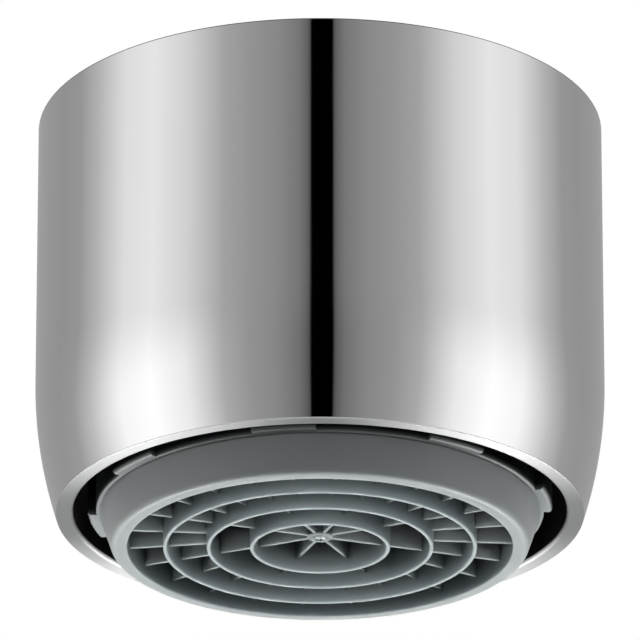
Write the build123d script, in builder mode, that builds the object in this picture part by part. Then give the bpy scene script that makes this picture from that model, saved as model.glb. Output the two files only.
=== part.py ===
from build123d import *
import os

os.makedirs("parts", exist_ok=True)

# Tap aerator with a female M22 x 1 thread. Millimetres.
# The outlet rim lies in z = 0, water runs down the Z axis and the spout screws in from above.

# Screw joint: the thread is left as a plain wall at its major diameter
thread_diameter = 22.0
thread_pitch = 1.0
thread_depth_per_pitch = 0.5413
thread_length = 7.6
thread_wall = 1.0
entry_chamfer = 0.4
relief_depth = 0.3
relief_room = 0.7

# Shell
rim_protrusion = 1.5
taper_height = 5.6
land_width = 0.6
air_gap = 1.14
ledge_height = 2.4

# Insert body
flange_pass = 0.21
flange_thickness = 1.3
seat_width = 0.5
lug_count = 8
lug_width = 2.7
lug_height = 0.35
lug_clearance = 0.1
lug_turn = 15.0
upper_wall = 0.65
chamber_height = 2.6
window_width = 3.2
window_height = 1.8
disc_cover = 0.3

# Outlet grid
skirt_height = 1.6
skirt_taper = 0.45
skirt_inset = 0.15
rim_width = 0.72
rim_chamfer = 0.3
spigot_wall = 0.6
spigot_clearance = 0.03
spigot_play = 0.1
grid_depth = 3.0
ring_count = 3
ring_pitch = 1.82
outer_channel = 1.59
ring_recess = 0.03
ring_wall = 0.22
rib_count = 24
rib_recess = 0.48
rib_wall = 0.18
spoke_every = 3
hub_radius = 0.42
hub_recess = 0.4

# Mixing disc
disc_thickness = 0.8
disc_clearance = 0.05
disc_play = 0.1
disc_rim = 0.6
disc_hub_radius = 1.1
bar_count = 12
bar_width = 0.6
bar_height = 0.45

# Jet plate
plate_thickness = 1.2
plate_clearance = 0.05
jet_count = 12
jet_length = 1.3
jet_width = 0.6
jet_edge = 0.8

# Inlet strainer
strainer_seat_depth = 0.7
cap_height = 2.2
cap_wall = 0.5
slot_rows = 3
slots_in_first_row = 6
slot_edge = 0.8
slot_width = 0.8
slot_land = 0.45

# Sealing washer
washer_thickness = 1.8
washer_clearance = 0.25
washer_bore_clearance = 0.2

# Radii, from the thread inwards
thread_radius = thread_diameter / 2
thread_crest_radius = thread_radius - thread_depth_per_pitch * thread_pitch
shell_radius = thread_radius + thread_wall
relief_radius = thread_radius + relief_depth
flange_radius = thread_crest_radius - flange_pass
lug_radius = flange_radius - seat_width
ledge_radius = lug_radius + lug_clearance
wall_radius = lug_radius - lug_height
skirt_bore_radius = wall_radius + air_gap
lip_radius = skirt_bore_radius + land_width
skirt_top_radius = wall_radius - skirt_inset
skirt_bottom_radius = skirt_top_radius - skirt_taper
grid_radius = skirt_bottom_radius - rim_width
spigot_radius = grid_radius + spigot_wall
socket_radius = spigot_radius + spigot_clearance
disc_radius = grid_radius - disc_clearance
chamber_radius = disc_radius - disc_cover
upper_bore_radius = wall_radius - upper_wall
plate_radius = upper_bore_radius - plate_clearance
washer_radius = thread_radius - washer_clearance
washer_bore_radius = upper_bore_radius + washer_bore_clearance

# Heights, from the outlet rim up
spigot_top = grid_depth + disc_thickness + disc_play
body_shoulder = spigot_top + spigot_play
plate_seat = body_shoulder + chamber_height
strainer_base = plate_seat + plate_thickness
body_top = strainer_base + strainer_seat_depth
flange_base = body_top - flange_thickness
ledge_base = flange_base - ledge_height
washer_top = body_top + washer_thickness
cap_top = body_top + cap_height
thread_base = washer_top + relief_room
shell_top = thread_base + thread_length + entry_chamfer
taper_top = rim_protrusion + taper_height

# Shell: one turned profile with thread bore, relief, insert seat, ledge and open skirt
with BuildPart() as shell:
    with BuildSketch(Plane.XZ):
        with BuildLine():
            taper = TangentArc((shell_radius, taper_top), (lip_radius, rim_protrusion), tangent=(0, -1))
            Polyline(
                taper @ 1,
                (skirt_bore_radius, rim_protrusion),
                (skirt_bore_radius, ledge_base),
                (ledge_radius, ledge_base),
                (ledge_radius, flange_base),
                (relief_radius, flange_base),
                (relief_radius, thread_base),
                (thread_radius, thread_base),
                (thread_radius, shell_top - entry_chamfer),
                (thread_radius + entry_chamfer, shell_top),
                (shell_radius, shell_top),
                taper @ 0,
            )
        make_face()
    revolve(axis=Axis.Z)
shell.part.label = "shell"
export_step(shell.part, "parts/shell.step")

# Insert body: flanged tube with lugs that centre it in the ledge and air windows between them
with BuildPart() as insert_body:
    with BuildSketch(Plane.XZ):
        with BuildLine():
            Polyline(
                (socket_radius, skirt_height),
                (wall_radius, skirt_height),
                (wall_radius, flange_base),
                (flange_radius, flange_base),
                (flange_radius, body_top),
                (upper_bore_radius, body_top),
                (upper_bore_radius, plate_seat),
                (chamber_radius, plate_seat),
                (chamber_radius, body_shoulder),
                (socket_radius, body_shoulder),
                close=True,
            )
        make_face()
    revolve(axis=Axis.Z)
    lug_root_radius = (socket_radius + wall_radius) / 2
    with BuildSketch(Plane.XY.offset(skirt_height)):
        with PolarLocations(lug_root_radius, lug_count, start_angle=lug_turn):
            Rectangle(lug_radius, lug_width, align=(Align.MIN, Align.CENTER))
        Circle(lug_radius, mode=Mode.INTERSECT)
    extrude(amount=flange_base - skirt_height)
    window_base = body_shoulder + (chamber_height - window_height) / 2
    with BuildSketch(Plane.XY.offset(window_base)):
        with PolarLocations(chamber_radius / 2, lug_count, start_angle=lug_turn + 180 / lug_count):
            Rectangle(lug_radius, window_width, align=(Align.MIN, Align.CENTER))
    extrude(amount=window_height, mode=Mode.SUBTRACT)
insert_body.part.label = "insert_body"
export_step(insert_body.part, "parts/insert_body.step")

# Outlet grid: tapered skirt and spigot, concentric rings, and ribs that stand back from their crests
rib_end = grid_radius + spigot_wall / 2
ring_radii = [grid_radius - outer_channel - ring_pitch * step for step in range(ring_count)]
with BuildPart() as outlet_grid:
    with BuildSketch(Plane.XZ) as skirt_profile:
        with BuildLine():
            Polyline(
                (grid_radius, 0),
                (skirt_bottom_radius, 0),
                (skirt_top_radius, skirt_height),
                (spigot_radius, skirt_height),
                (spigot_radius, spigot_top),
                (grid_radius, spigot_top),
                close=True,
            )
        make_face()
        chamfer(skirt_profile.vertices().group_by(Axis.Y)[0].sort_by(Axis.X)[-1], rim_chamfer)
    revolve(axis=Axis.Z)
    with BuildSketch(Plane.XY.offset(ring_recess)):
        for radius in ring_radii:
            Circle(radius + ring_wall / 2)
            Circle(radius - ring_wall / 2, mode=Mode.SUBTRACT)
    extrude(amount=grid_depth - ring_recess)
    with BuildSketch(Plane.XY.offset(rib_recess)):
        for index in range(rib_count):
            inner_end = 0 if index % spoke_every == 0 else ring_radii[1]
            with Locations(Rotation(0, 0, index * 360 / rib_count)):
                with Locations((inner_end, 0)):
                    Rectangle(rib_end - inner_end, rib_wall, align=(Align.MIN, Align.CENTER))
    extrude(amount=grid_depth - rib_recess)
    with BuildSketch(Plane.XY.offset(hub_recess)):
        Circle(hub_radius)
    extrude(amount=grid_depth - hub_recess)
outlet_grid.part.label = "outlet_grid"
export_step(outlet_grid.part, "parts/outlet_grid.step")

# Mixing disc: a deep rim and low radial bars, lying on the grid inside the spigot
with BuildPart() as mixing_disc:
    with BuildSketch(Plane.XY.offset(grid_depth)):
        Circle(disc_radius)
        Circle(disc_radius - disc_rim, mode=Mode.SUBTRACT)
    extrude(amount=disc_thickness)
    with BuildSketch(Plane.XY.offset(grid_depth)):
        Circle(disc_hub_radius)
        with PolarLocations(0, bar_count):
            Rectangle(disc_radius - disc_rim / 2, bar_width, align=(Align.MIN, Align.CENTER))
    extrude(amount=bar_height)
mixing_disc.part.label = "mixing_disc"
export_step(mixing_disc.part, "parts/mixing_disc.step")

# Jet plate: a disc with a circle of short radial jets
with BuildPart() as jet_plate:
    with BuildSketch(Plane.XY.offset(plate_seat)):
        Circle(plate_radius)
        with PolarLocations(chamber_radius - jet_edge, jet_count):
            Rectangle(jet_length, jet_width, align=(Align.MAX, Align.CENTER), mode=Mode.SUBTRACT)
    extrude(amount=plate_thickness)
jet_plate.part.label = "jet_plate"
export_step(jet_plate.part, "parts/jet_plate.step")

# Inlet strainer: a low cup upside down, with rows of slots that all have the same spacing
slot_row_pitch = (plate_radius - slot_edge) / (slot_rows + 0.5)
slot_length = slot_row_pitch - slot_land
with BuildPart() as inlet_strainer:
    with BuildSketch(Plane.XZ):
        with BuildLine():
            Polyline(
                (0, cap_top),
                (plate_radius, cap_top),
                (plate_radius, strainer_base),
                (plate_radius - cap_wall, strainer_base),
                (plate_radius - cap_wall, cap_top - cap_wall),
                (0, cap_top - cap_wall),
                close=True,
            )
        make_face()
    revolve(axis=Axis.Z)
    with BuildSketch(Plane.XY.offset(strainer_base)):
        for row in range(1, slot_rows + 1):
            with PolarLocations(row * slot_row_pitch, row * slots_in_first_row):
                Rectangle(slot_length, slot_width)
    extrude(amount=cap_top - strainer_base, mode=Mode.SUBTRACT)
inlet_strainer.part.label = "inlet_strainer"
export_step(inlet_strainer.part, "parts/inlet_strainer.step")

# Sealing washer: flat ring between the insert's flange and the end of the spout
with BuildPart() as sealing_washer:
    with BuildSketch(Plane.XY.offset(body_top)):
        Circle(washer_radius)
        Circle(washer_bore_radius, mode=Mode.SUBTRACT)
    extrude(amount=washer_thickness)
sealing_washer.part.label = "sealing_washer"
export_step(sealing_washer.part, "parts/sealing_washer.step")
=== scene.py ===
"""Tap aerator: a chromed sleeve with a grey moulded insert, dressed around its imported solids.

Sizes are millimetres in the part's own frame, outlet rim in z = 0 and water running down the Z axis.
Meshes are turned to metres when they are written.
"""
import logging
import math
from dataclasses import dataclass, replace
from enum import Enum

import bpy
import bmesh
import numpy as np
from mathutils import Matrix, Vector

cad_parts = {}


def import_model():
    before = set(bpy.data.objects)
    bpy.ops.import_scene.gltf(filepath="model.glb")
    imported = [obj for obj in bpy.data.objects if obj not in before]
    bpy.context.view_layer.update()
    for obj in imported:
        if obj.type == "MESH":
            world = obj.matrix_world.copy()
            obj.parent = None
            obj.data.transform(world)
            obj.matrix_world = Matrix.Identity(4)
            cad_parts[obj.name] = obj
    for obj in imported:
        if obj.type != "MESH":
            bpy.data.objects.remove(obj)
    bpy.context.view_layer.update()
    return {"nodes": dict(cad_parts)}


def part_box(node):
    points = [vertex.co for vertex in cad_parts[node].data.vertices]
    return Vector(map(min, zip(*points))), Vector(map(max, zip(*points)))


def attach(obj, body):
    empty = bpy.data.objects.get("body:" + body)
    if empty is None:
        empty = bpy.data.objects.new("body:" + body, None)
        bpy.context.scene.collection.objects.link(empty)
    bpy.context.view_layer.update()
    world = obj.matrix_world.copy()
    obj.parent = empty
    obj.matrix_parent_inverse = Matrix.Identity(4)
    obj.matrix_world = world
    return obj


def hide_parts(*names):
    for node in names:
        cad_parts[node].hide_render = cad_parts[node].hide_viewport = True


MM = 0.001
TURN = 2 * math.pi
WELD = 1e-4
SAME_POINT = 1e-6
TINY = 1e-9
CAMERA_AZIMUTH = -20.4
log = logging.getLogger("aerator")

# The sRGB curve: its straight part ends at the knee.
SRGB_KNEE, SRGB_SLOPE, SRGB_OFFSET, SRGB_POWER, SRGB_TOP = 0.04045, 12.92, 0.055, 2.4, 255
# Numbers of a colour mix node's sockets, whose names aren't unique.
SHARE, FIRST, SECOND, MIXED = 0, 6, 7, 2
# Most of a noise lies in this range.
NOISE_LOW, NOISE_HIGH = 0.3, 0.7
CLOUD_DETAIL, GRAIN_DETAIL = 3.0, 2.0


class Join(Enum):
    """How a tool surface changes the surface that it meets."""

    ADD = "UNION"
    CUT = "DIFFERENCE"


class Zone(Enum):
    """Which of the sleeve's finishes a face takes, as its place in the list of materials."""

    SHOWN = 0
    LAND = 1
    GAP = 2
    THREAD = 3


class Rays(Enum):
    """Which surfaces a lamp is there for, as its visibility to diffuse and to glossy rays.

    A real lamp is always there for both.
    """

    ALL = (True, True)
    MATT = (True, False)
    MIRROR = (False, True)


def linear(hex_colour: str) -> tuple[float, float, float, float]:
    """Turn an sRGB colour to linear light.

    Args:
        hex_colour: six hex digits after a hash mark.

    Returns:
        Linear red, green and blue, and an alpha of 1.
    """
    srgb = np.array(list(bytes.fromhex(hex_colour[1:]))) / SRGB_TOP
    curved = ((srgb + SRGB_OFFSET) / (1 + SRGB_OFFSET)) ** SRGB_POWER
    light = np.where(srgb <= SRGB_KNEE, srgb / SRGB_SLOPE, curved)
    return (*map(float, light), 1.0)


def per_mm(size: float) -> float:
    """Texture scale at which one cell of a pattern measures this many millimetres."""
    return 1 / (size * MM)


def box_mm(node: str) -> tuple[Vector, Vector]:
    """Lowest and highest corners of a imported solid, in millimetres."""
    return tuple(Vector(corner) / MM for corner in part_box(node))


def add_node(tree: bpy.types.NodeTree, kind: str, inputs: dict | None = None,
             stops: tuple[tuple[float, float], ...] = (), **settings: object) -> bpy.types.Node:
    """Add one node, with its settings, constants and links.

    Args:
        tree: the node tree that it goes into.
        kind: Blender's name of the node type.
        inputs: socket name or number to a constant, or to the output socket that feeds it.
        stops: places and grey levels, where the node has a ramp.
        settings: the node's own properties.

    Returns:
        The new node.
    """
    node = tree.nodes.new(kind)
    for name, value in settings.items():
        setattr(node, name, value)
    for socket, value in (inputs or {}).items():
        if isinstance(value, bpy.types.NodeSocket):
            tree.links.new(value, node.inputs[socket])
        else:
            node.inputs[socket].default_value = value
    while stops and len(node.color_ramp.elements) < len(stops):
        node.color_ramp.elements.new(1.0)
    for place, (position, level) in enumerate(stops):
        node.color_ramp.elements[place].position = position
        node.color_ramp.elements[place].color = (level, level, level, 1)
    return node


def empty_tree(holder: bpy.types.ID) -> bpy.types.NodeTree:
    """Switch a material, lamp or world to nodes, with none in its tree yet.

    Args:
        holder: what the nodes are for.

    Returns:
        The empty tree.
    """
    holder.use_nodes = True
    holder.node_tree.nodes.clear()
    return holder.node_tree


def place_facing(holder: bpy.types.Object, azimuth: float, elevation: float, distance: float,
                 aim_height: float = 0.0) -> None:
    """Put a lamp or camera into the scene, facing a point on the axis.

    The way out from that point is (sin a cos e, -cos a cos e, sin e) for azimuth a and elevation e.

    Args:
        holder: the object of the lamp or camera.
        azimuth: degrees round the axis from -Y towards +X.
        elevation: degrees above the horizon.
        distance: how far away it stands.
        aim_height: height of the point that it faces.
    """
    turn, lift = math.radians(azimuth), math.radians(elevation)
    away = Vector((math.sin(turn) * math.cos(lift), -math.cos(turn) * math.cos(lift), math.sin(lift)))
    holder.location = (Vector((0, 0, aim_height)) + away * distance) * MM
    holder.rotation_mode = "QUATERNION"
    holder.rotation_quaternion = (-away).to_track_quat("-Z", "Y")
    bpy.context.scene.collection.objects.link(holder)


@dataclass
class Surface:
    """A closed surface: points in millimetres and the faces between them."""

    points: np.ndarray
    faces: list[list[int]]


def rounded(corners: list[tuple[float, float]], radii: list[float], steps: int = 6,
            guard: float = 0.03) -> np.ndarray:
    """Round the corners of a closed outline.

    At each corner an arc of the given radius touches both edges: its centre lies on the corner's bisector,
    and its points turn evenly from one touching point to the other. One more point lies on each edge just
    beyond the arc, which keeps the long faces flat in the shading. A radius of 0 keeps the corner.

    Args:
        corners: the outline's corners, anticlockwise.
        radii: one radius for each corner.
        steps: points on each arc.
        guard: how far beyond an arc the point on the edge lies.

    Returns:
        The rounded outline, one row for each point.
    """
    corner = np.array(corners, float)
    radius = np.array(radii, float)[:, None]
    back = np.roll(corner, 1, axis=0) - corner
    ahead = np.roll(corner, -1, axis=0) - corner
    back_length = np.linalg.norm(back, axis=1, keepdims=True)
    ahead_length = np.linalg.norm(ahead, axis=1, keepdims=True)
    back, ahead = back / back_length, ahead / ahead_length
    bisector = back + ahead
    bisector /= np.linalg.norm(bisector, axis=1, keepdims=True) + TINY
    half = np.arccos(np.clip((back * bisector).sum(1, keepdims=True), -1, 1))
    centre = corner + bisector * radius / np.sin(half)
    reach = radius / np.tan(half)
    first = corner + back * reach - centre
    last = corner + ahead * reach - centre
    turn = (math.pi - 2 * half)[:, None, :]
    share = np.linspace(0, 1, steps)[None, :, None]
    safe = np.where(np.abs(np.sin(turn)) < TINY, 1.0, np.sin(turn))
    arc = np.sin((1 - share) * turn) * first[:, None] + np.sin(share * turn) * last[:, None]
    ends = [(corner + way * np.minimum(reach + guard, length / 2))[:, None]
            for way, length in ((back, back_length), (ahead, ahead_length))]
    points = np.concatenate([ends[0], centre[:, None] + arc / safe, ends[1]], 1).reshape(-1, 2)
    straight = np.repeat(radius[:, 0] == 0, steps + 2)
    points[straight] = np.repeat(corner, steps + 2, axis=0)[straight]
    gap = np.linalg.norm(points - np.roll(points, 1, axis=0), axis=1)
    return points[gap > SAME_POINT]


def quads(rows: int, columns: int, close_rows: bool, close_columns: bool) -> np.ndarray:
    """Number the faces of a grid of points that are counted row by row.

    Args:
        rows: rows of points.
        columns: points in a row.
        close_rows: whether the last row joins the first.
        close_columns: whether a row's last point joins its first.

    Returns:
        Four point numbers for each face.
    """
    row = np.arange(rows if close_rows else rows - 1)[:, None]
    column = np.arange(columns if close_columns else columns - 1)[None, :]
    next_row = (row + 1) % rows * columns
    next_column = (column + 1) % columns
    row = row * columns
    corners = [row + column, row + next_column, next_row + next_column, next_row + column]
    return np.stack(corners, -1).reshape(-1, 4)


def turned(radius: np.ndarray, height: np.ndarray, segments: int) -> Surface:
    """Turn a closed outline about the Z axis.

    Point (i, j) lies at radius i and height i, at j parts of a full turn. Where the radius has a column for
    each part of the turn, it changes round the axis as well, as in a screw thread.

    Args:
        radius: radius of each outline point, alone or for each segment.
        height: height of each outline point.
        segments: parts of the full turn.

    Returns:
        The closed surface.
    """
    angle = np.arange(segments) * TURN / segments
    radius = radius.reshape(len(height), -1) * np.ones(segments)
    height = height[:, None] * np.ones(segments)
    points = np.stack([radius * np.cos(angle), radius * np.sin(angle), height], -1).reshape(-1, 3)
    return Surface(points, quads(len(height), segments, True, True).tolist())


def swept_round(outline: np.ndarray, angles: np.ndarray) -> Surface:
    """Carry a closed outline of radius and height round part of a turn, and close its two ends.

    Args:
        outline: radius and height of each point, anticlockwise.
        angles: the stations on the way, in radians.

    Returns:
        The closed surface.
    """
    radius, height = outline[:, :1], outline[:, 1:]
    points = np.stack([radius * np.cos(angles), radius * np.sin(angles), height + 0 * angles], -1)
    faces = quads(len(outline), len(angles), True, False).tolist()
    start = np.arange(len(outline)) * len(angles)
    ends = [start.tolist(), (start[::-1] + len(angles) - 1).tolist()]
    return Surface(points.reshape(-1, 3), faces + ends)


def bars(section: np.ndarray, inner: np.ndarray, outer: np.ndarray, angles: np.ndarray) -> Surface:
    """Carry one section along several straight lines that run out from the axis.

    A section's point (across, height) goes to (along, across, height), and the bar is then turned about Z.

    Args:
        section: across and height of each point, anticlockwise seen from the bar's outer end.
        inner: where each bar starts, from the axis.
        outer: where each bar ends.
        angles: each bar's direction, in radians.

    Returns:
        The closed bars, as one surface.
    """
    count = len(section)
    along = np.stack([inner, outer], 1)[:, :, None] * np.ones(count)
    across = section[:, 0] * np.ones_like(along)
    height = section[:, 1] * np.ones_like(along)
    cos, sin = np.cos(angles)[:, None, None], np.sin(angles)[:, None, None]
    points = np.stack([along * cos - across * sin, along * sin + across * cos, height], -1).reshape(-1, 3)
    start = np.arange(len(inner)) * 2 * count
    sides = (quads(2, count, False, True)[None] + start[:, None, None]).reshape(-1, 4).tolist()
    cap = np.arange(count)
    inner_caps = (start[:, None] + cap[::-1]).tolist()
    outer_caps = (start[:, None] + count + cap).tolist()
    return Surface(points, sides + inner_caps + outer_caps)


def write_object(name: str, surfaces: list[Surface]) -> bpy.types.Object:
    """Put surfaces into one new mesh object, still in millimetres.

    Args:
        name: name of the object and its mesh.
        surfaces: the surfaces, which stay separate shells.

    Returns:
        The object, at the origin.
    """
    starts = np.cumsum([0] + [len(surface.points) for surface in surfaces])
    points = np.concatenate([surface.points for surface in surfaces])
    faces = [[int(start) + corner for corner in face] for start, surface in zip(starts, surfaces)
             for face in surface.faces]
    mesh = bpy.data.meshes.new(name)
    mesh.from_pydata(points, [], faces)
    piece = bpy.data.objects.new(name, mesh)
    bpy.context.scene.collection.objects.link(piece)
    return piece


def combine(piece: bpy.types.Object, surfaces: list[Surface], join: Join) -> None:
    """Join surfaces to a piece, or cut them out of it, and keep the result as its mesh.

    Args:
        piece: the piece that changes.
        surfaces: the closed surfaces that it meets.
        join: whether they are joined or cut.
    """
    tool = write_object(piece.name + "_tool", surfaces)
    change = piece.modifiers.new(join.name, "BOOLEAN")
    change.operation = join.value
    change.solver = "EXACT"
    change.object = tool
    graph = bpy.context.evaluated_depsgraph_get()
    mesh = bpy.data.meshes.new_from_object(piece.evaluated_get(graph))
    old, tool_mesh = piece.data, tool.data
    piece.modifiers.clear()
    piece.data = mesh
    bpy.data.objects.remove(tool)
    bpy.data.meshes.remove(tool_mesh)
    bpy.data.meshes.remove(old)
    mesh.name = piece.name


def weld(mesh: bpy.types.Mesh) -> None:
    """Merge doubled points, such as those at a pole, and turn all faces outwards.

    Args:
        mesh: the mesh, in millimetres.
    """
    work = bmesh.new()
    work.from_mesh(mesh)
    bmesh.ops.remove_doubles(work, verts=work.verts, dist=WELD)
    bmesh.ops.recalc_face_normals(work, faces=work.faces)
    work.to_mesh(mesh)
    work.free()


def face_centres(mesh: bpy.types.Mesh) -> np.ndarray:
    """List the middles of a finished mesh's faces.

    Args:
        mesh: the mesh, in metres.

    Returns:
        One row for each face, in millimetres.
    """
    centres = np.empty(len(mesh.polygons) * 3)
    mesh.polygons.foreach_get("center", centres)
    return centres.reshape(-1, 3) / MM


def finish_mesh(piece: bpy.types.Object, sharp_degrees: float = 38.0) -> None:
    """Weld a piece, turn its millimetres to metres and shade it smooth.

    Args:
        piece: the piece, in millimetres.
        sharp_degrees: the crease from which an edge stays sharp.
    """
    mesh = piece.data
    weld(mesh)
    mesh.transform(Matrix.Scale(MM, 4))
    mesh.polygons.foreach_set("use_smooth", np.ones(len(mesh.polygons), bool))
    mesh.set_sharp_from_angle(angle=math.radians(sharp_degrees))
    mesh.update()


@dataclass(frozen=True)
class Finish:
    """A surface finish: its name, colour and gloss, and the texture that its making leaves."""

    name: str
    colour: str
    roughness: float
    roughness_spread: float
    mottle_mm: float
    grain_mm: float
    grain_depth_mm: float
    mottle: float = 0.0
    metallic: float = 0.0
    ior: float = 1.5
    subsurface: float = 0.0
    subsurface_mm: float = 0.3
    turned_marks: float = 0.0
    # The last three paint shade: a dark colour that covers the finish from its base height to its full
    # height.
    painted_shade_colour: str = ""
    painted_shade_base_mm: float = 0.0
    painted_shade_full_mm: float = 0.0

    def coloured(self, tree: bpy.types.NodeTree, place: bpy.types.NodeSocket,
                 cloud: bpy.types.NodeSocket) -> bpy.types.NodeSocket | tuple[float, ...]:
        """Mottle the colour by the slow noise, and darken it with painted shade from its base height up.

        Args:
            tree: the material's node tree.
            place: the surface's own coordinates.
            cloud: the slow noise.

        Returns:
            The colour's socket, or the plain colour of a finish that isn't mottled.
        """
        plain = linear(self.colour)
        if not self.mottle:
            return plain
        dark, light = ((*(min(1.0, part * shade) for part in plain[:3]), 1.0)
                       for shade in (1 - self.mottle, 1 + self.mottle))
        mottled = {SHARE: cloud, FIRST: dark, SECOND: light}
        tint = add_node(tree, "ShaderNodeMix", mottled, data_type="RGBA").outputs[MIXED]
        if not self.painted_shade_colour:
            return tint
        height = add_node(tree, "ShaderNodeSeparateXYZ", {0: place}).outputs["Z"]
        shade_share = add_node(tree, "ShaderNodeMapRange", {
            "Value": height, "From Min": self.painted_shade_base_mm * MM, "From Max": self.painted_shade_full_mm * MM})
        painted_shade = {SHARE: shade_share.outputs["Result"], FIRST: tint, SECOND: linear(self.painted_shade_colour)}
        return add_node(tree, "ShaderNodeMix", painted_shade, data_type="RGBA").outputs[MIXED]

    def material(self) -> bpy.types.Material:
        """Make this finish a material, the first time it is asked for.

        A slow noise shifts the gloss, and the colour where the finish is mottled. A fine one raises the
        grain.

        Returns:
            The material.
        """
        known = bpy.data.materials.get(self.name)
        if known:
            return known
        material = bpy.data.materials.new(self.name)
        tree = empty_tree(material)
        place = add_node(tree, "ShaderNodeTexCoord").outputs["Object"]
        cloud = add_node(tree, "ShaderNodeTexNoise", {
            "Vector": place, "Scale": per_mm(self.mottle_mm), "Detail": CLOUD_DETAIL}).outputs["Fac"]
        gloss = add_node(tree, "ShaderNodeMapRange", {
            "Value": cloud, "From Min": NOISE_LOW, "From Max": NOISE_HIGH,
            "To Min": self.roughness - self.roughness_spread,
            "To Max": self.roughness + self.roughness_spread})
        grain = add_node(tree, "ShaderNodeTexNoise", {
            "Vector": place, "Scale": per_mm(self.grain_mm), "Detail": GRAIN_DETAIL}).outputs["Fac"]
        bump = add_node(tree, "ShaderNodeBump", {
            "Height": grain, "Distance": self.grain_depth_mm * MM, "Strength": 1.0})
        inputs = {
            "Base Color": self.coloured(tree, place, cloud), "Roughness": gloss.outputs["Result"],
            "Normal": bump.outputs["Normal"], "Metallic": self.metallic, "IOR": self.ior,
            "Subsurface Weight": self.subsurface, "Subsurface Scale": self.subsurface_mm * MM,
            "Subsurface Radius": (1.0, 1.0, 1.0)}
        if self.turned_marks:
            around = add_node(tree, "ShaderNodeTangent", direction_type="RADIAL", axis="Z")
            quarter_turn = 0.25
            inputs |= {"Tangent": around.outputs["Tangent"], "Anisotropic": self.turned_marks,
                       "Anisotropic Rotation": quarter_turn}
        shader = add_node(tree, "ShaderNodeBsdfPrincipled", inputs)
        add_node(tree, "ShaderNodeOutputMaterial", {"Surface": shader.outputs[0]})
        return material


# Bright chromium on polished brass: a clean mirror, with a little unevenness left by the polishing mop.
BRIGHT_CHROME = Finish(
    "bright_chrome_plate", "#e6e6e6", roughness=0.035, roughness_spread=0.012, metallic=1.0,
    mottle_mm=4.0, grain_mm=2.5, grain_depth_mm=0.00004)
# The land is plated as it came from the lathe: its fine rings spread a reflection outwards.
TURNED_CHROME = Finish(
    "turned_chrome_plate", "#bebebe", roughness=0.35, roughness_spread=0.03, metallic=1.0, turned_marks=1.0,
    mottle_mm=4.0, grain_mm=2.5, grain_depth_mm=0.00004)
# Plating hardly reaches the bore in the air gap: dull and streaky. Its dark colour is a guess. Its
# dark colour is painted shade, and on the sleeve's sharp top corner it makes a painted dark line of
# shade.
DULL_SHADE_PAINTED_PLATE = Finish(
    "dull_plate_painted_shade", "#3b3c3c", roughness=0.42, roughness_spread=0.08, metallic=1.0,
    mottle=0.15, mottle_mm=1.2, grain_mm=0.12, grain_depth_mm=0.002)
# Higher up, unseen in the photo, a thin flash on cut brass is a guess: satin, a little warm, tool-marked.
FLASH_PLATE = Finish(
    "flash_plated_brass", "#a19e98", roughness=0.33, roughness_spread=0.07, metallic=1.0, turned_marks=0.6,
    mottle=0.12, mottle_mm=1.6, grain_mm=0.12, grain_depth_mm=0.001)
# Grey acetal, moulded in a fine spark-eroded tool: satin, slightly see-through where it is thin.
GREY_ACETAL = Finish(
    "grey_acetal_moulding", "#949999", roughness=0.36, roughness_spread=0.05, ior=1.48,
    subsurface=0.85, subsurface_mm=0.6, mottle=0.05, mottle_mm=2.2, grain_mm=0.07, grain_depth_mm=0.0012)
# The same acetal inside the grid, with painted shade that darkens it with height, deeper into the grid.
GRID_SHADE_PAINTED_ACETAL = replace(
    GREY_ACETAL, name="acetal_painted_grid_shade", colour="#91999b", painted_shade_colour="#1b2021",
    painted_shade_full_mm=1.7)
# The same acetal, with painted shade that darkens it higher up in the air gap, with a
# dark film by the same guess.
GAP_SHADE_PAINTED_ACETAL = replace(
    GREY_ACETAL, name="acetal_painted_gap_shade", subsurface=0.0, painted_shade_colour="#232627", painted_shade_base_mm=1.5,
    painted_shade_full_mm=1.85)
# Natural acetal: milky white, satin.
MILKY_ACETAL = Finish(
    "milky_acetal_moulding", "#dcdcd6", roughness=0.38, roughness_spread=0.05, ior=1.48,
    mottle=0.03, mottle_mm=2.0, grain_mm=0.07, grain_depth_mm=0.0012)
# Black ethylene-propylene rubber, cut from moulded sheet: matt with a fine dusty grain.
BLACK_RUBBER = Finish(
    "black_sheet_rubber", "#222223", roughness=0.68, roughness_spread=0.08, ior=1.52,
    mottle=0.25, mottle_mm=0.8, grain_mm=0.05, grain_depth_mm=0.003)


def stand_for(piece: bpy.types.Object, node: str, finishes: list[Finish]) -> None:
    """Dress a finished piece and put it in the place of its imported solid.

    Args:
        piece: the finished piece.
        node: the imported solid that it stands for.
        finishes: its materials, in the order of its faces' numbers.
    """
    for finish in finishes:
        piece.data.materials.append(finish.material())
    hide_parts(node)
    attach(piece, "root")
    log.info("%s stands for %s: %d faces", piece.name, node, len(piece.data.polygons))


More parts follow.
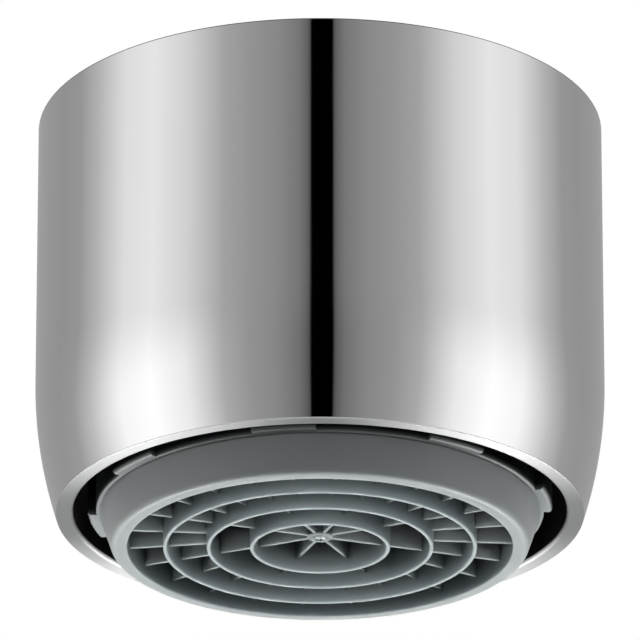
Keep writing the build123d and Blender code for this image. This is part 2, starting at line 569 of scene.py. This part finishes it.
@dataclass
class Sleeve:
    """The chromed sleeve: barrel, taper, land, air-gap bore, insert ledge, relief and spout thread."""

    taper_top: float = 7.35
    land_width: float = 0.71
    lip_radius: float = 11.07
    lip_round: float = 0.05
    ledge_radius: float = 9.849
    ledge_base: float = 4.8
    ledge_top: float = 7.2
    relief_radius: float = 11.3
    thread_radius: float = 11.0
    thread_depth: float = 0.5413
    thread_pitch: float = 1.0
    thread_base: float = 11.0
    root_flat: float = 1 / 8
    crest_flat: float = 1 / 4
    entry_chamfer: float = 0.4
    top_edge: float = 0.06
    inner_edge: float = 0.05
    bore_edge: float = 0.15
    flat_margin: float = 0.01
    segments: int = 240
    taper_steps: int = 28
    rows_per_pitch: int = 16

    def taper(self, radius: float, base: float) -> list[tuple[float, float]]:
        """Give the taper's outline, from the lip up to where the barrel starts.

        It is an arc that touches the barrel: with the drop d and the inset s between its ends, its radius is
        (d squared + s squared) / 2s, and its centre lies level with the barrel's start.

        Args:
            radius: the barrel's radius.
            base: height of the sleeve's lower end.

        Returns:
            Radius and height of each point.
        """
        drop, inset = self.taper_top - base, radius - self.lip_radius
        arc = (drop ** 2 + inset ** 2) / (2 * inset)
        tilt = np.linspace(math.asin(drop / arc), 0, self.taper_steps)
        return list(zip(radius - arc + arc * np.cos(tilt), self.taper_top - arc * np.sin(tilt)))

    def thread_relief(self, height: np.ndarray, top: float) -> np.ndarray:
        """Say how far the thread stands in from its root.

        A right-hand ridge climbs one pitch a turn. Across one pitch it is a trapezium, with one flat at its
        root and one at its crest, and it fades out over half a pitch at both ends.

        Args:
            height: heights along the bore.
            top: height at which the thread ends.

        Returns:
            The inward step, a row for each height and a column for each part of the turn.
        """
        turn = np.arange(self.segments) / self.segments
        part = (height[:, None] / self.thread_pitch - turn) % 1.0
        slope = 1 - np.abs(2 * part - 1)
        ridge = np.clip((slope - self.root_flat) / (1 - self.root_flat - self.crest_flat), 0, 1)
        run_out = self.thread_pitch / 2
        fade = np.clip(np.minimum(height - self.thread_base, top - height) / run_out, 0, 1)
        return self.thread_depth * ridge * fade[:, None]

    def outline(self, radius: float, base: float, top: float) -> np.ndarray:
        """Go round the sleeve's wall: land, taper, barrel, top end, thread, relief, ledge, air-gap bore.

        Args:
            radius: the barrel's radius.
            base: height of the lower end.
            top: height of the top end.

        Returns:
            Radius and height of each point, anticlockwise.
        """
        bore, thread_top = self.lip_radius - self.land_width, top - self.entry_chamfer
        rows = int(self.rows_per_pitch * (thread_top - self.thread_base) / self.thread_pitch)
        thread = [(self.thread_radius, height) for height in np.linspace(thread_top, self.thread_base, rows)]
        outer = self.taper(radius, base)
        end = [(radius, top), (self.thread_radius + self.entry_chamfer, top)]
        inner = [(self.relief_radius, self.thread_base), (self.relief_radius, self.ledge_top),
                 (self.ledge_radius, self.ledge_top), (self.ledge_radius, self.ledge_base),
                 (bore, self.ledge_base)]
        edges = [self.bore_edge, self.lip_round, *[0.0] * (len(outer) - 1), self.top_edge, self.inner_edge,
                 *[0.0] * len(thread), *[self.inner_edge] * len(inner)]
        return rounded([(bore, base), *outer, *end, *thread, *inner], edges)

    def zones(self, mesh: bpy.types.Mesh, radius: float, base: float, top: float) -> np.ndarray:
        """Pick each face's finish by where its middle lies.

        The outside is polished, the lower end and its bore corner are left as turned, the air-gap bore and
        the sharp top corner are dull and dark with painted shade, and the top end and all above the ledge
        are thinly plated.

        Args:
            mesh: the finished mesh.
            radius: the barrel's radius.
            base: height of the lower end.
            top: height of the top end.

        Returns:
            The number of each face's material.
        """
        across, along, up = face_centres(mesh).T
        out = np.hypot(across, along)
        bore = self.lip_radius - self.land_width
        bore_corner = (up < base + self.bore_edge) & (out < bore + self.bore_edge)
        lower_end = bore_corner | (up < base + self.flat_margin) & (out < self.lip_radius)
        top_end = (up > top - self.flat_margin) & (out < radius - self.top_edge)
        lip = (up < self.taper_top) & (out > self.lip_radius - self.lip_round)
        shown = (lip | (out > self.relief_radius + self.inner_edge)) & (up < top - self.top_edge)
        # The sharp top corner takes the dark plate: a painted line of shade along the top edge.
        corner = (up > top - self.top_edge) & (out > radius - self.top_edge)
        above_ledge = up > self.ledge_base + self.inner_edge
        choices = [(lower_end, Zone.LAND), (top_end, Zone.THREAD), (corner, Zone.GAP), (shown, Zone.SHOWN),
                   (above_ledge, Zone.THREAD)]
        return np.select([test for test, _ in choices], [zone.value for _, zone in choices], Zone.GAP.value)

    def build(self) -> None:
        """Turn the sleeve in one piece and give its zones their finishes."""
        low, high = box_mm("shell")
        radius, base, top = high.x, low.z, high.z
        radii, heights = self.outline(radius, base, top).T
        on_thread = np.abs(radii - self.thread_radius) < WELD
        relief = self.thread_relief(heights, top - self.entry_chamfer) * on_thread[:, None]
        piece = write_object("chromed_sleeve", [turned(radii[:, None] - relief, heights, self.segments)])
        finish_mesh(piece)
        piece.data.polygons.foreach_set("material_index", self.zones(piece.data, radius, base, top))
        finishes = [BRIGHT_CHROME, TURNED_CHROME, DULL_SHADE_PAINTED_PLATE, FLASH_PLATE]
        stand_for(piece, "shell", finishes)


@dataclass
class InsertBody:
    """The insert's housing: flanged tube, lugs that centre it in the sleeve, air windows between them."""

    socket_radius: float = 8.709
    wall_radius: float = 9.399
    upper_bore: float = 8.749
    plate_seat: float = 6.6
    chamber_radius: float = 7.729
    shoulder: float = 4.0
    flange_base: float = 7.2
    lug_radius: float = 9.749
    lug_count: int = 8
    lug_width: float = 2.7
    lug_turn: float = 15.6
    lug_edge: float = 0.18
    window_width: float = 3.2
    window_base: float = 4.4
    window_top: float = 6.2
    window_round: float = 0.3
    edge: float = 0.08
    segments: int = 192
    lug_steps: int = 13

    def lugs(self, base: float) -> list[Surface]:
        """Carry a lug's upright section round the part of the turn that each lug takes.

        Args:
            base: height of the lugs' lower ends.

        Returns:
            One closed surface for each lug.
        """
        root, top = (self.socket_radius + self.wall_radius) / 2, self.flange_base + self.edge
        corners = [(root, base), (self.lug_radius, base), (self.lug_radius, top), (root, top)]
        section = rounded(corners, [0.0, self.lug_edge, 0.0, 0.0])
        half = math.asin(self.lug_width / 2 / self.lug_radius)
        starts = math.radians(self.lug_turn) + np.arange(self.lug_count) * TURN / self.lug_count
        return [swept_round(section, start + np.linspace(-half, half, self.lug_steps)) for start in starts]

    def windows(self) -> Surface:
        """Run a rounded block out through the wall midway between each two lugs.

        Returns:
            The blocks, as one surface.
        """
        side = self.window_width / 2
        corners = [(-side, self.window_base), (side, self.window_base), (side, self.window_top),
                   (-side, self.window_top)]
        section = rounded(corners, [self.window_round] * len(corners))
        angles = math.radians(self.lug_turn) + (np.arange(self.lug_count) + 0.5) * TURN / self.lug_count
        inner = np.full(self.lug_count, self.chamber_radius / 2)
        outer = np.full(self.lug_count, self.lug_radius + self.window_round)
        return bars(section, inner, outer, angles)

    def build(self) -> None:
        """Turn the tube, join the lugs to it and cut the windows."""
        low, high = box_mm("insert_body")
        flange, base, top = high.x, low.z, high.z
        corners = [(self.socket_radius, base), (self.wall_radius, base),
                   (self.wall_radius, self.flange_base), (flange, self.flange_base), (flange, top),
                   (self.upper_bore, top),
                   (self.upper_bore, self.plate_seat), (self.chamber_radius, self.plate_seat),
                   (self.chamber_radius, self.shoulder), (self.socket_radius, self.shoulder)]
        radii, heights = rounded(corners, [self.edge] * len(corners)).T
        piece = write_object("insert_housing", [turned(radii, heights, self.segments)])
        combine(piece, self.lugs(base), Join.ADD)
        combine(piece, [self.windows()], Join.CUT)
        finish_mesh(piece)
        # From the lugs' undersides up, the housing is darkened by painted shade.
        stand_for(piece, "insert_body", [GAP_SHADE_PAINTED_ACETAL])


@dataclass
class OutletGrid:
    """The moulded outlet: tapered skirt with a rounded rim, rings, ribs, spokes, and a hub with a scar."""

    skirt_height: float = 1.6
    skirt_bottom: float = 8.71
    skirt_top: float = 9.249
    spigot_radius: float = 8.679
    rim_inner: float = 8.079
    rim_round: float = 0.38
    rim_inner_round: float = 0.07
    edge: float = 0.05
    joint_edge: float = 0.03
    grid_depth: float = 3.0
    ring_radii: tuple[float, ...] = (6.489, 4.669, 2.849)
    ring_recess: float = 0.0
    ring_crest: float = 0.16
    ring_root: float = 0.32
    ring_round: float = 0.075
    rib_count: int = 24
    rib_recess: float = 0.54
    rib_crest: float = 0.14
    rib_root: float = 0.27
    rib_step: float = 0.01
    spoke_every: int = 3
    spoke_overlap: float = 0.06
    hub_radius: float = 0.56
    hub_draft: float = 0.05
    hub_round: float = 0.1
    hub_recess: float = 0.5
    hub_step: float = 0.02
    scar_radius: float = 0.21
    scar_depth: float = 0.2
    scar_lip: float = 0.12
    scar_lobes: tuple[tuple[int, float, float], ...] = ((1, 0.22, 0.4), (2, 0.2, 2.2), (5, 0.14, 4.0))
    segments: int = 240
    hub_segments: int = 48
    rim_steps: int = 10

    def ring(self, radius: float) -> Surface:
        """Turn one ring: its walls draw in towards a rounded crest, as the tool's draft needs.

        Args:
            radius: radius at the middle of the ring's wall.

        Returns:
            The closed ring.
        """
        crest, root = self.ring_crest / 2, self.ring_root / 2
        corners = [(radius - crest, self.ring_recess), (radius + crest, self.ring_recess),
                   (radius + root, self.grid_depth), (radius - root, self.grid_depth)]
        radii, heights = rounded(corners, [self.ring_round, self.ring_round, 0.0, 0.0]).T
        return turned(radii, heights, self.segments)

    def ribs(self) -> Surface:
        """Run the ribs out to the rim: every third one from the hub, the others from the middle ring.

        Returns:
            The ribs, as one surface.
        """
        crest, root, top = self.rib_crest / 2, self.rib_root / 2, self.grid_depth - self.rib_step
        corners = [(-crest, self.rib_recess), (crest, self.rib_recess), (root, top), (-root, top)]
        section = rounded(corners, [self.edge, self.edge, 0.0, 0.0])
        index = np.arange(self.rib_count)
        from_hub = index % self.spoke_every == 0
        inner = np.where(from_hub, self.hub_radius - self.spoke_overlap, self.ring_radii[1])
        outer = np.full(self.rib_count, (self.rim_inner + self.spigot_radius) / 2)
        return bars(section, inner, outer, index * TURN / self.rib_count)

    def hub(self) -> Surface:
        """Turn the hub: a rounded stub with the torn scar of the tool's gate in its face.

        The scar is a small crater with a raised lip. Its radius is multiplied by 1 plus a few sines of the
        angle, so the lip is uneven.

        Returns:
            The closed hub.
        """
        floor, top = self.hub_recess + self.scar_depth, self.grid_depth - self.hub_step
        foot = self.scar_radius + self.scar_lip
        corners = [(0.0, floor), (self.scar_radius / 2, floor),
                   (self.scar_radius, self.hub_recess - self.scar_lip), (foot, self.hub_recess),
                   (self.hub_radius, self.hub_recess),
                   (self.hub_radius + self.hub_draft, top), (0.0, top)]
        edges = [0.0, self.edge, self.joint_edge, self.edge, self.hub_round, 0.0, 0.0]
        radii, heights = rounded(corners, edges).T
        angle = np.arange(self.hub_segments) * TURN / self.hub_segments
        lobes = sum(size * np.sin(count * angle + start) for count, size, start in self.scar_lobes)
        in_scar = (radii < foot - self.edge) & (heights < top)
        return turned(radii[:, None] * (1 + lobes * in_scar[:, None]), heights, self.hub_segments)

    def build(self) -> None:
        """Join the skirt, rings and hub with the ribs to one moulding."""
        top = box_mm("outlet_grid")[1].z
        corners = [(self.rim_inner, 0.0), (self.skirt_bottom, 0.0), (self.skirt_top, self.skirt_height),
                   (self.spigot_radius, self.skirt_height), (self.spigot_radius, top), (self.rim_inner, top)]
        edges = [self.rim_inner_round, self.rim_round, self.edge, self.joint_edge, self.edge, self.edge]
        radii, heights = rounded(corners, edges, self.rim_steps).T
        skirt = turned(radii, heights, self.segments)
        piece = write_object("outlet_moulding", [skirt, *map(self.ring, self.ring_radii), self.hub()])
        combine(piece, [self.ribs()], Join.ADD)
        finish_mesh(piece)
        # Faces inside the rim take the acetal whose painted shade darkens deeper into the grid.
        across, along, _ = face_centres(piece.data).T
        inside = np.hypot(across, along) < self.rim_inner + self.rim_inner_round / 2
        piece.data.polygons.foreach_set("material_index", inside.astype(int))
        stand_for(piece, "outlet_grid", [GREY_ACETAL, GRID_SHADE_PAINTED_ACETAL])


@dataclass
class InletStrainer:
    """The inlet sieve: a low cup upside down, with rows of slots in its face and a gate dimple."""

    wall: float = 0.5
    rows: int = 3
    first_row_slots: int = 6
    slot_edge: float = 0.8
    slot_width: float = 0.8
    slot_land: float = 0.45
    slot_flare: float = 0.09
    dimple_radius: float = 0.55
    dimple_depth: float = 0.14
    edge: float = 0.22
    inner_edge: float = 0.05
    segments: int = 192

    def slots(self, radius: float, base: float, top: float) -> Surface:
        """Run the slots of all rows through the face: row n has n times as many as the first.

        Args:
            radius: the sieve's radius.
            base: height of its lower edge.
            top: height of its face, at which the slots' long sides flare.

        Returns:
            The slots, as one surface.
        """
        pitch = (radius - self.slot_edge) / (self.rows + 0.5)
        numbers = np.arange(1, self.rows + 1)
        row = np.repeat(numbers, numbers * self.first_row_slots)
        index = np.concatenate([np.arange(number * self.first_row_slots) for number in numbers])
        middle, half, side = row * pitch, (pitch - self.slot_land) / 2, self.slot_width / 2
        wide, over = side + self.slot_flare, top + self.slot_flare
        section = np.array([
            (-side, base), (side, base), (side, top - self.slot_flare), (wide, top), (wide, over),
            (-wide, over), (-wide, top), (-side, top - self.slot_flare)])
        return bars(section, middle - half, middle + half, index * TURN / (row * self.first_row_slots))

    def build(self) -> None:
        """Turn the cup and cut the slots."""
        low, high = box_mm("inlet_strainer")
        radius, base, top = high.x, low.z, high.z
        bore, dimple = radius - self.wall, top - self.dimple_depth
        corners = [(bore, base), (radius, base), (radius, top), (self.dimple_radius, top),
                   (self.dimple_radius - self.dimple_depth, dimple), (0.0, dimple),
                   (0.0, top - self.wall), (bore, top - self.wall)]
        edges = [self.inner_edge, self.inner_edge, self.edge, self.inner_edge, self.inner_edge, 0.0, 0.0,
                 self.inner_edge]
        radii, heights = rounded(corners, edges).T
        piece = write_object("inlet_sieve", [turned(radii, heights, self.segments)])
        weld(piece.data)
        combine(piece, [self.slots(radius, base, top)], Join.CUT)
        finish_mesh(piece)
        stand_for(piece, "inlet_strainer", [MILKY_ACETAL])


@dataclass
class SealingWasher:
    """The flat rubber ring that the end of the spout presses on."""

    bore: float = 8.949
    edge: float = 0.12
    segments: int = 192

    def build(self) -> None:
        """Turn the ring, with edges a little rounded."""
        low, high = box_mm("sealing_washer")
        corners = [(self.bore, low.z), (high.x, low.z), (high.x, high.z), (self.bore, high.z)]
        radii, heights = rounded(corners, [self.edge] * len(corners)).T
        piece = write_object("spout_seal", [turned(radii, heights, self.segments)])
        finish_mesh(piece)
        stand_for(piece, "sealing_washer", [BLACK_RUBBER])


@dataclass
class InnerStack:
    """The jet plate and mixing disc inside the insert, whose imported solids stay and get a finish."""

    jet_plate: Finish = MILKY_ACETAL
    # The mixing disc lies deep in the insert, where this finish is dark all over: painted shade.
    mixing_disc: Finish = GAP_SHADE_PAINTED_ACETAL

    def build(self, nodes: dict[str, bpy.types.Object]) -> None:
        """Give both solids their materials.

        Args:
            nodes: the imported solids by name.
        """
        for node, finish in (("jet_plate", self.jet_plate), ("mixing_disc", self.mixing_disc)):
            nodes[node].data.materials.clear()
            nodes[node].data.materials.append(finish.material())
            log.info("%s keeps its packed solid", node)


@dataclass(frozen=True)
class SoftBox:
    """A flat soft lamp that faces the object."""

    name: str
    azimuth: float
    elevation: float
    distance: float
    width: float
    height: float
    radiance: float
    rays: Rays = Rays.ALL
    fades: bool = False

    def build(self) -> None:
        """Hang the lamp, with the power that gives its middle the wanted radiance.

        Where it fades, the share left is the square of 1 less the distance from the middle, in half sides.
        """
        lamp = bpy.data.lights.new(self.name, "AREA")
        lamp.shape = "RECTANGLE"
        lamp.size, lamp.size_y = self.width * MM, self.height * MM
        lamp.energy = self.radiance * math.pi * lamp.size * lamp.size_y
        if self.fades:
            tree = empty_tree(lamp)
            place = add_node(tree, "ShaderNodeNewGeometry").outputs["Parametric"]
            centred = add_node(tree, "ShaderNodeMapping", {
                "Vector": place, "Location": (-1.0, -1.0, 0.0), "Scale": (2.0, 2.0, 0.0)})
            share = add_node(tree, "ShaderNodeTexGradient", {"Vector": centred.outputs[0]},
                             gradient_type="QUADRATIC_SPHERE").outputs["Fac"]
            glow = add_node(tree, "ShaderNodeEmission", {"Strength": share})
            add_node(tree, "ShaderNodeOutputLight", {"Surface": glow.outputs[0]})
        holder = bpy.data.objects.new(self.name, lamp)
        holder.visible_camera = False
        holder.visible_diffuse, holder.visible_glossy = self.rays.value
        place_facing(holder, self.azimuth, self.elevation, self.distance)


@dataclass
class Studio:
    """A light tent with a slit for the camera, a ceiling light, low soft boxes and a pale floor."""

    slit_azimuth: float = -19.6
    floor_drop: float = 600.0
    floor_colour: str = "#c3c5c6"
    floor_bounce: str = "#474748"
    floor_roughness: float = 0.9
    fade_start: float = 1800.0
    fade_level: float = 0.3
    tent_radius: float = 2250.0
    tent_top: float = 2280.0
    panel_base: float = 112.5
    panel_top: float = 900.0
    # Share of half a turn from the slit, and the cloth's radiance there, tuned to the bands in the photo.
    high_cloth: tuple[tuple[float, float], ...] = (
        (0.0, 0.0), (0.0258, 0.0), (0.0278, 0.13), (0.05, 0.225), (0.1, 0.31), (0.16, 0.365), (0.22, 0.45),
        (0.31, 0.79), (0.4, 0.985), (0.48, 0.905), (0.57, 0.56), (0.64, 0.375), (0.72, 0.345), (1.0, 0.4))
    low_cloth: tuple[tuple[float, float], ...] = (
        (0.0, 0.0), (0.0258, 0.0), (0.0278, 0.11), (0.05, 0.2), (0.1, 0.3), (0.16, 0.365), (0.22, 0.5),
        (0.31, 1.03), (0.4, 1.27), (0.49, 1.16), (0.59, 0.64), (0.66, 0.4), (0.74, 0.355), (1.0, 0.4))
    segments: int = 128
    ceiling: SoftBox = SoftBox(
        "ceiling_light", azimuth=0.0, elevation=90.0, distance=tent_top, width=4500.0, height=4500.0,
        radiance=1.35)
    front: SoftBox = SoftBox(
        "front_light", azimuth=CAMERA_AZIMUTH, elevation=-8.0, distance=300.0, width=300.0, height=50.0,
        radiance=1.6, rays=Rays.MATT)
    back: SoftBox = SoftBox(
        "back_light", azimuth=CAMERA_AZIMUTH, elevation=-45.0, distance=180.0, width=76.0, height=44.0,
        radiance=31.0, rays=Rays.MATT)
    land: SoftBox = SoftBox(
        "land_light", azimuth=CAMERA_AZIMUTH, elevation=-48.0, distance=180.0, width=115.0, height=260.0,
        radiance=12.5, rays=Rays.MIRROR, fades=True)
    front_turn: float = 70.0
    back_turn: float = 155.0
    land_turn: float = 146.0
    right_land_gain: float = 1.16

    def soft_boxes(self) -> list[SoftBox]:
        """List the lamps: one over the tent, low strips round the front, and two pairs low behind.

        Of each pair, one lamp lights the rim and crests and the other is what the turned land mirrors.

        Returns:
            The lamps.
        """
        boxes = [self.ceiling]
        for side in (-1, 0, 1):
            boxes.append(replace(self.front, azimuth=CAMERA_AZIMUTH + side * self.front_turn))
        for side, gain in ((-1, 1.0), (1, self.right_land_gain)):
            boxes.append(replace(self.back, azimuth=CAMERA_AZIMUTH + side * self.back_turn))
            boxes.append(replace(self.land, azimuth=CAMERA_AZIMUTH + side * self.land_turn,
                                 radiance=self.land.radiance * gain))
        return boxes

    def stage(self, name: str, points: np.ndarray, faces: list[list[int]],
              material: bpy.types.Material) -> bpy.types.Object:
        """Make a stage surface, which is not part of the object.

        Args:
            name: name of the surface.
            points: its points, in millimetres.
            faces: its faces.
            material: its material.

        Returns:
            The object.
        """
        piece = write_object(name, [Surface(points, faces)])
        piece.data.transform(Matrix.Scale(MM, 4))
        piece.data.materials.append(material)
        return piece

    def rim(self, height: float) -> np.ndarray:
        """Go round the tent's circle at one height.

        Args:
            height: the circle's height.

        Returns:
            One point for each segment.
        """
        angle = np.arange(self.segments) * TURN / self.segments
        return np.stack([self.tent_radius * np.cos(angle), self.tent_radius * np.sin(angle),
                         np.full(self.segments, height)], -1)

    def looked_at(self, tree: bpy.types.NodeTree) -> bpy.types.NodeSocket:
        """Tell the camera's own rays, and those that metal and glass show, from the rest.

        Args:
            tree: the node tree that asks.

        Returns:
            A socket that is 1 for those rays and else 0.
        """
        path = add_node(tree, "ShaderNodeLightPath").outputs
        seen = add_node(tree, "ShaderNodeMath", {0: path["Is Camera Ray"], 1: path["Is Glossy Ray"]},
                        operation="MAXIMUM").outputs[0]
        return add_node(tree, "ShaderNodeMath", {0: seen, 1: path["Is Transmission Ray"]},
                        operation="MAXIMUM").outputs[0]

    def floor(self) -> None:
        """Lay a round pale floor below the camera, which brightens to the white backdrop at its edge."""
        material = bpy.data.materials.new("pale_floor")
        tree = empty_tree(material)
        seen = self.looked_at(tree)
        tints = {SHARE: seen, FIRST: linear(self.floor_bounce), SECOND: linear(self.floor_colour)}
        tint = add_node(tree, "ShaderNodeMix", tints, data_type="RGBA").outputs[MIXED]
        place = add_node(tree, "ShaderNodeTexCoord").outputs["Object"]
        away = add_node(tree, "ShaderNodeVectorMath", {0: place}, operation="LENGTH").outputs["Value"]
        fade = add_node(tree, "ShaderNodeMapRange", {
            "Value": away, "From Min": self.fade_start * MM, "From Max": self.tent_radius * MM,
            "To Max": self.fade_level}, interpolation_type="SMOOTHSTEP").outputs["Result"]
        glow = add_node(tree, "ShaderNodeMath", {0: fade, 1: seen}, operation="MULTIPLY").outputs[0]
        shader = add_node(tree, "ShaderNodeBsdfPrincipled", {
            "Base Color": tint, "Roughness": self.floor_roughness, "Emission Strength": glow})
        add_node(tree, "ShaderNodeOutputMaterial", {"Surface": shader.outputs[0]})
        self.stage("floor", self.rim(-self.floor_drop), [list(range(self.segments))], material)

    def cloth(self) -> bpy.types.Material:
        """Light the tent's cloth from outside, as a grey wall with two soft bright panels and a dark slit.

        Going round from the slit, the angle as a share of half a turn picks the cloth's radiance. The panels
        are brighter and wider near the floor.

        Returns:
            The material.
        """
        material = bpy.data.materials.new("tent_cloth")
        tree = empty_tree(material)
        place = add_node(tree, "ShaderNodeTexCoord").outputs["Object"]
        facing = add_node(tree, "ShaderNodeMapping", {
            "Vector": place, "Rotation": (0, 0, TURN / 4 - math.radians(self.slit_azimuth))})
        around = add_node(tree, "ShaderNodeTexGradient", {"Vector": facing.outputs["Vector"]},
                          gradient_type="RADIAL").outputs["Fac"]
        middle, halves = 0.5, 2.0
        offset = add_node(tree, "ShaderNodeMath", {0: around, 1: middle}, operation="SUBTRACT").outputs[0]
        away = add_node(tree, "ShaderNodeMath", {0: offset}, operation="ABSOLUTE").outputs[0]
        share = add_node(tree, "ShaderNodeMath", {0: away, 1: halves}, operation="MULTIPLY").outputs[0]
        low, high = (add_node(tree, "ShaderNodeValToRGB", {"Fac": share}, stops).outputs["Color"]
                     for stops in (self.low_cloth, self.high_cloth))
        height = add_node(tree, "ShaderNodeSeparateXYZ", {0: place}).outputs["Z"]
        lift = add_node(tree, "ShaderNodeMapRange", {
            "Value": height, "From Min": self.panel_base * MM, "From Max": self.panel_top * MM},
            interpolation_type="SMOOTHSTEP").outputs["Result"]
        levels = {SHARE: lift, FIRST: low, SECOND: high}
        level = add_node(tree, "ShaderNodeMix", levels, data_type="RGBA").outputs[MIXED]
        glow = add_node(tree, "ShaderNodeEmission", {"Color": level, "Strength": 1.0})
        add_node(tree, "ShaderNodeOutputMaterial", {"Surface": glow.outputs[0]})
        material.cycles.emission_sampling = "NONE"
        return material

    def tent(self) -> None:
        """Stand the cloth round the object as a wall that the camera looks through."""
        points = np.concatenate([self.rim(-self.floor_drop), self.rim(self.tent_top)])
        wall = self.stage("tent", points, quads(2, self.segments, False, True).tolist(), self.cloth())
        wall.visible_camera = False
        wall.visible_shadow = False

    def backdrop(self) -> None:
        """Make the world a white backdrop for what sees past the tent."""
        world = bpy.data.worlds.new("white_backdrop")
        bpy.context.scene.world = world
        tree = empty_tree(world)
        sky = add_node(tree, "ShaderNodeBackground", {
            "Color": (1, 1, 1, 1), "Strength": self.looked_at(tree)})
        add_node(tree, "ShaderNodeOutputWorld", {"Surface": sky.outputs[0]})

    def build(self) -> None:
        """Set up the floor, tent, lamps and backdrop, and the plain view transform."""
        self.floor()
        self.tent()
        for box in self.soft_boxes():
            box.build()
        self.backdrop()
        bpy.context.scene.view_settings.view_transform = "Standard"
        log.info("studio is set")


@dataclass
class Camera:
    """The photograph's camera, looking up at the outlet from below."""

    azimuth: float = CAMERA_AZIMUTH
    elevation: float = -22.31
    distance: float = 379.9
    aim_height: float = 10.376
    lens: float = 505.06
    sensor: float = 36.0

    def build(self) -> None:
        """Place the camera and make it the scene's own."""
        data = bpy.data.cameras.new("camera")
        data.lens, data.sensor_width = self.lens, self.sensor
        holder = bpy.data.objects.new("camera", data)
        place_facing(holder, self.azimuth, self.elevation, self.distance, self.aim_height)
        bpy.context.scene.camera = holder
        log.info("camera is set")


def main() -> None:
    """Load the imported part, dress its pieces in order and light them."""
    logging.basicConfig(level=logging.INFO, format="%(name)s: %(message)s")
    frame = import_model()
    Camera().build()
    Sleeve().build()
    InsertBody().build()
    OutletGrid().build()
    InletStrainer().build()
    SealingWasher().build()
    InnerStack().build(frame["nodes"])
    Studio().build()


if __name__ == "__main__":
    main()
